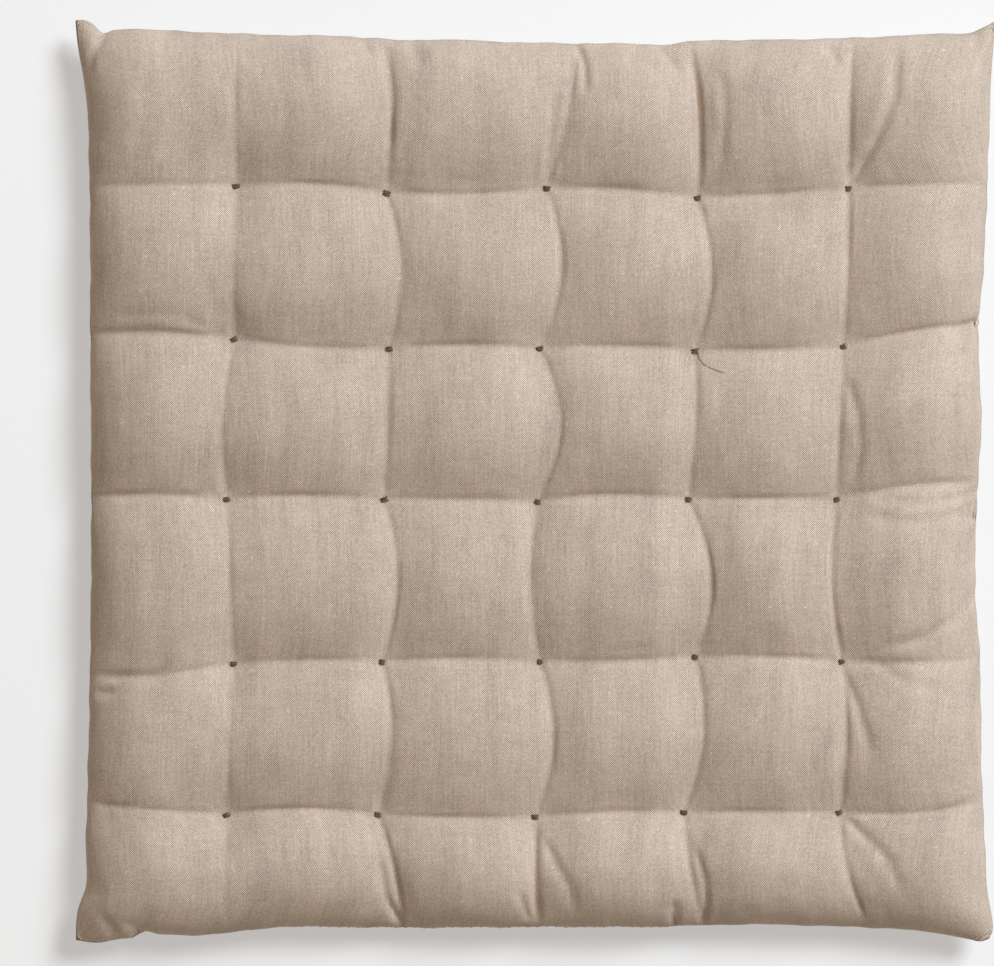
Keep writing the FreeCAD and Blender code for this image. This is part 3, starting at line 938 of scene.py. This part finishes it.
def closed_slab(name, upper, lower, finish):
    """A closed piece between two grids of points that share their plan's topology."""
    size = len(upper)
    count = size * size
    over, under = grid_faces(size), grid_faces(size, flip=True) + count
    rim = around(np.arange(count).reshape(size, size))
    walls = np.stack([rim + count, np.roll(rim, -1) + count, np.roll(rim, -1), rim], 1)
    made = mesh_object(name, np.concatenate([upper.reshape(-1, 3), lower.reshape(-1, 3)]),
                       np.concatenate([over, under, walls]))
    made.data.materials.append(finish)
    smooth(made)
    return made


def shrunk_plan(inset):
    """The panel's plan drawn in from the seam all round."""
    share = 1 - inset / (PITCH * PILLOWS / 2)
    middle = np.array([(NET[0, 0] + NET[-1, -1]) / 2])
    return (PLAN - middle) * share + middle


def outer_layer(name, cloth, side):
    """The wadding behind one finished skin; side is 1 for the top and -1 below."""
    heights = side * cloth[..., 2]
    nearby = [np.roll(heights, (i, j), (0, 1)) for i in (-1, 0, 1) for j in (-1, 0, 1)]
    upright = cloth[::2, ::2] * (1, 1, side)
    upright[..., 2] = np.min(nearby, axis=0)[::2, ::2]
    skin = (upright - SLACK * normals(upright)) * (1, 1, side)
    skin[..., :2] += (shrunk_plan(WADDING_INSET) - PLAN) * (1 - inward(INSET_REACH))[..., None]
    over_core = CORE_HALF + LAYER_GAP - OVER_ALLOWANCE
    base = SEAM_Z + side * (OVER_ALLOWANCE + over_core * inward(CORE_INSET - 2))
    near = base + side * THIN_EDGE
    skin[..., 2] = np.maximum(skin[..., 2], near) if side > 0 else np.minimum(skin[..., 2], near)
    inner = np.dstack([skin[..., :2], base])
    return closed_slab(name, *((skin, inner) if side > 0 else (inner, skin)), WADDING_FINISH)


wadding_top = outer_layer("wadding_layer_top", top_skin, 1)
wadding_under = outer_layer("wadding_layer_underside", under_skin, -1)
core_round = np.sqrt(1 - (1 - inward(0)) ** 2) * (CORE_HALF - 0.4) + CORE_EDGE
core_plan = shrunk_plan(CORE_INSET)
wadding_core = closed_slab("wadding_layer_core", np.dstack([core_plan, SEAM_Z + core_round]),
                           np.dstack([core_plan, SEAM_Z - core_round]), WADDING_FINISH)
print("wadding pieces:", [o.name for o in (wadding_top, wadding_core, wadding_under)])

# %% [markdown]
# ## Tufts
# A tuft is a bar tack: the needle goes down through the whole pad and comes up a few millimetres
# away, several times over. What shows on each face is a short bundle of parallel threads. Each turn of
# thread is made as one closed loop, over the top, down through the wadding, and back under the bottom.

# %% Tuft threads
LOOPS = 3
THREAD_RADIUS = 0.32
BAR_HALF = 1.25
BUNDLE = 0.4  # half the space between a loop's two legs in the middle of the pad
DIVE = 1.4  # how far under the cloth a thread has turned to go straight through
LOOSE_TUFT = (2, 4)  # row from the back and column from the left
LOOSE_TAIL = ((1.2, -1.2), (1.8, -3.4), (3.2, -5.4), (6.0, -7.2), (9.2, -8.6), (12.2, -9.6))
TUBE_SIDES = 8


def smooth_path(points, closed, steps=4):
    """More points on a Catmull-Rom curve through a few."""
    points = np.array(points, float)
    count = len(points)
    out = []
    spans = range(count if closed else count - 1)
    for k in spans:
        ids = [(k + d) % count if closed else min(max(k + d, 0), count - 1) for d in (-1, 0, 1, 2)]
        a, b, c, d = points[ids]
        for t in np.arange(steps) / steps:
            out.append(0.5 * (2 * b + (c - a) * t + (2 * a - 5 * b + 4 * c - d) * t**2
                              + (3 * b - a - 3 * c + d) * t**3))
    if not closed:
        out.append(points[-1])
    return np.array(out)


def tube(path, radius, closed):
    """Points and faces of a round thread along a path; open ends get a flat cap."""
    count = len(path)
    ahead = np.roll(path, -1, 0) - np.roll(path, 1, 0)
    if not closed:
        ahead[0], ahead[-1] = path[1] - path[0], path[-1] - path[-2]
    ahead /= np.linalg.norm(ahead, axis=1, keepdims=True)
    side = np.zeros_like(path)
    reference = np.array([0.31, 0.94, 0.12])
    for k in range(count):
        reference = reference - ahead[k] * (reference @ ahead[k])
        reference = reference / np.linalg.norm(reference)
        side[k] = reference
    up = np.cross(ahead, side)
    turn = np.arange(TUBE_SIDES) * 2 * math.pi / TUBE_SIDES
    ring = side[:, None] * np.cos(turn)[None, :, None] + up[:, None] * np.sin(turn)[None, :, None]
    points = (path[:, None] + ring * radius).reshape(-1, 3)
    faces = []
    for k in range(count if closed else count - 1):
        here, there = k * TUBE_SIDES, (k + 1) % count * TUBE_SIDES
        for s in range(TUBE_SIDES):
            after = (s + 1) % TUBE_SIDES
            faces.append((here + s, here + after, there + after, there + s))
    if not closed:
        faces.append(tuple(range(TUBE_SIDES))[::-1])
        faces.append(tuple(range((count - 1) * TUBE_SIDES, count * TUBE_SIDES)))
    return points, faces


def tuft_loop(x, y, top, under, offset, lean, rng):
    """The path of one turn of thread through the pad at a tuft."""
    proud = THREAD_RADIUS * 2 + rng.uniform(0, 0.5)
    wide = BAR_HALF + rng.uniform(-0.3, 0.3)
    turn = rng.uniform(-0.22, 0.22) + lean
    across = np.array([math.cos(turn), math.sin(turn)])
    sideways = np.array([-across[1], across[0]])

    def half(face, out):
        """The thread up through one face, along its bar and down again; out is 1 on top and -1 below."""
        for along, off, z in (
                (-0.8 * wide, offset / 2, face - out * DIVE), (-wide, offset, face + out * proud * 0.25),
                (-0.55 * wide, offset, face + out * proud), (0, offset, face + out * proud * 1.1),
                (0.55 * wide, offset, face + out * proud), (wide, offset, face + out * proud * 0.25),
                (0.8 * wide, offset / 2, face - out * DIVE), (BUNDLE, offset / 2, (top + under) / 2)):
            yield (*(np.array([x, y]) + across * along * out + sideways * off), z)

    points = [*half(top, 1), *half(under, -1)]
    return smooth_path(points[2:] + points[:2], closed=True)


def joined(parts):
    """Several (points, faces) pairs as one."""
    points, faces, total = [], [], 0
    for some, around_them in parts:
        points.append(some)
        faces += [tuple(i + total for i in face) for face in around_them]
        total += len(some)
    return np.concatenate(points), faces


def skin_height(skin, x, y):
    """Height of a skin at a place in plan."""
    off = (skin[..., 0] - x) ** 2 + (skin[..., 1] - y) ** 2
    return skin.reshape(-1, 3)[np.argmin(off), 2]


def add_tuft(row, column):
    """The bar tack in a row from the back and a column from the left, both from 1."""
    x, y = TUFTS[ROWS - row, column - 1]
    top, under = skin_height(top_skin, x, y), skin_height(under_skin, x, y)
    rng = np.random.default_rng(100 * row + column)
    lean = rng.uniform(-0.25, 0.25)
    spacing = 2.05 * THREAD_RADIUS
    offsets = (np.arange(LOOPS) - (LOOPS - 1) / 2) * spacing
    parts = [tube(tuft_loop(x, y, top, under, offset, lean, rng), THREAD_RADIUS, True) for offset in offsets]
    if (row, column) == LOOSE_TUFT:
        parts.append(loose_end(x, y))
    made = mesh_object(f"tuft_thread_{row}_{column}", *joined(parts))
    made.data.materials.append(TUFT_FINISH)
    smooth(made)
    return made


def loose_end(x, y):
    """The tail of thread left where the tacker cut it, lying on the pillow in front of its tuft."""
    path = smooth_path([(x + a, y + b, 0) for a, b in LOOSE_TAIL], closed=False, steps=3)
    path[:, 2] = [skin_height(top_skin, a, b) + 0.2 for a, b in path[:, :2]]
    return tube(path, 0.1, False)


tufts = {(r, c): add_tuft(r, c) for r in range(1, ROWS + 1) for c in range(1, COLUMNS + 1)}
print("tufts:", len(tufts), "faces each:", len(tufts[1, 1].data.polygons))

# %% [markdown]
# ## Seam stitches
# The edge is sewn with a lockstitch, whose two threads lie on the two allowances, and the gap left for
# turning is closed by hand with short stitches across the edge. Both are one stitch repeated along a
# line, which is what Geometry Nodes do well: resample the line, put a stitch at each point, turn it to
# the line's direction, and make the result real geometry with its material.


# %% A tree that lays stitches along a line
def stitch_tree(name, stitch, jitter):
    """A node group with inputs for pitch and thread radius; stitch is the path of one stitch, in mm."""
    tree = bpy.data.node_groups.new(name, "GeometryNodeTree")
    tree.interface.new_socket("Line", in_out="INPUT", socket_type="NodeSocketGeometry")
    pitch = tree.interface.new_socket("Stitch Pitch", in_out="INPUT", socket_type="NodeSocketFloat")
    radius = tree.interface.new_socket("Thread Radius", in_out="INPUT", socket_type="NodeSocketFloat")
    finish = tree.interface.new_socket("Finish", in_out="INPUT", socket_type="NodeSocketMaterial")
    tree.interface.new_socket("Stitches", in_out="OUTPUT", socket_type="NodeSocketGeometry")

    def node(kind, settings=None, sockets=None):
        return add_node(tree, kind, settings, sockets)

    given = node("NodeGroupInput").outputs
    line = node("GeometryNodeMeshToCurve", None, {"Mesh": given["Line"]}).outputs["Curve"]
    spaced = node("GeometryNodeResampleCurve", {"mode": "LENGTH"}, {
        "Curve": line, "Length": given["Stitch Pitch"]})
    tangent = node("GeometryNodeInputTangent").outputs["Tangent"]
    facing = node("FunctionNodeAlignEulerToVector", {"axis": "X"}, {"Vector": tangent})
    swing = node("FunctionNodeRandomValue", {"data_type": "FLOAT_VECTOR"}, {
        "Min": (-jitter,) * 3, "Max": (jitter,) * 3, "Seed": 5})
    turned = node("ShaderNodeVectorMath", {"operation": "ADD"}, {
        0: facing.outputs["Rotation"], 1: swing.outputs["Value"]})
    start, first, second, end = [tuple(v * MM for v in point) for point in stitch]
    path = node("GeometryNodeCurvePrimitiveBezierSegment", None, {
        "Resolution": 6, "Start": start, "Start Handle": first, "End Handle": second, "End": end})
    ring = node("GeometryNodeCurvePrimitiveCircle", None, {"Resolution": 6, "Radius": given["Thread Radius"]})
    thread = node("GeometryNodeCurveToMesh", None, {
        "Curve": path.outputs["Curve"], "Profile Curve": ring.outputs["Curve"], "Fill Caps": True})
    placed = node("GeometryNodeInstanceOnPoints", None, {
        "Points": spaced.outputs["Curve"], "Instance": thread.outputs["Mesh"],
        "Rotation": turned.outputs["Vector"]})
    real = node("GeometryNodeRealizeInstances", None, {"Geometry": placed.outputs["Instances"]})
    painted = node("GeometryNodeSetMaterial", None, {
        "Geometry": real.outputs["Geometry"], "Material": given["Finish"]})
    node("NodeGroupOutput", None, {"Stitches": painted.outputs["Geometry"]})
    return tree, {"pitch": pitch.identifier, "radius": radius.identifier, "finish": finish.identifier}


# %% [markdown]
# The edge of a panel is one long line, and the closing seam is a short piece of the front one. The
# stitches' pieces are converted to plain meshes, and the lines they followed are removed.


# %% Lockstitch and closing stitches
SEWING_RADIUS = 0.18
LOCK_PITCH = 2.6
LOCK_INSET, LOCK_LIFT = 1.6, 1.05  # from the seam, in plan and up or down
CLOSING = (-102.0, 54.0)  # where the gap for turning begins and ends
CLOSING_PITCH = 4.0
CLOSING_INSET = 0.35
LOCK_STITCH = ((-1.3, 0, -0.25), (-0.6, 0, 0.2), (0.6, 0, 0.2), (1.3, 0, -0.25))
CLOSING_STITCH = ((-0.9, 0.5, 0.75), (-0.3, -0.75, 0.55), (0.3, -0.75, -0.55), (0.9, 0.5, -0.75))


def stitched(name, points, closed, stitch, pitch, jitter=0.05):
    """A piece made of one stitch repeated along a line of points."""
    count = len(points)
    edges = [(k, (k + 1) % count) for k in range(count if closed else count - 1)]
    line = mesh_object("line", points, (), edges)
    tree, inputs = stitch_tree(f"stitches_{name}", stitch, jitter)
    modifier = line.modifiers.new("stitches", "NODES")
    modifier.node_group = tree
    modifier[inputs["pitch"]] = pitch * MM
    modifier[inputs["radius"]] = SEWING_RADIUS * MM
    modifier[inputs["finish"]] = SEWING_FINISH
    graph = bpy.context.evaluated_depsgraph_get()
    mesh = bpy.data.meshes.new_from_object(line.evaluated_get(graph), depsgraph=graph)
    made = put_in_scene(name, mesh)
    bpy.data.objects.remove(line)
    return made


def seam_line(inset, lift):
    """The line round the pad at a distance in from the seam and at a height above it."""
    return np.column_stack([inset_ring(inset), SEAM_RING_Z + lift])


needle_line, bobbin_line = seam_line(LOCK_INSET, LOCK_LIFT), seam_line(LOCK_INSET, -LOCK_LIFT)
needle_thread = stitched("seam_thread_upper", needle_line, True, LOCK_STITCH, LOCK_PITCH)
bobbin_thread = stitched("seam_thread_lower", bobbin_line, True, LOCK_STITCH, LOCK_PITCH)
front_edge = seam_line(CLOSING_INSET, 0)[:len(FINE_LINES)]
closing_line = front_edge[(front_edge[:, 0] > CLOSING[0]) & (front_edge[:, 0] < CLOSING[1])]
closing = stitched("closing_stitches_front", closing_line, False, CLOSING_STITCH, CLOSING_PITCH, 0.2)
print("stitches:", [(o.name, len(o.data.polygons)) for o in (needle_thread, bobbin_thread, closing)])

# %% [markdown]
# ## Putting the pieces in place
# Every piece takes the place of one or more nodes of the design: it hangs from the root body, and the
# nodes it stands for are hidden. A cover is a sheet stretched over the wadding, and the wadding is padding.

# %% Pieces and what they replace
for piece, node in ((top_cover, "top_cover"), (under_cover, "bottom_cover"), (wadding_top, "wadding_top"),
                    (wadding_core, "wadding_core"), (wadding_under, "wadding_bottom"),
                    (needle_thread, "seam_needle_thread"), (bobbin_thread, "seam_bobbin_thread"),
                    (closing, "closing_stitches")):
    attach(piece, "root")
    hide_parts(node)
for (row, column), piece in tufts.items():
    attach(piece, "root")
    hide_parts(f"tuft_{row}_{column}")
print("tufts that stand for their nodes:", len(tufts))
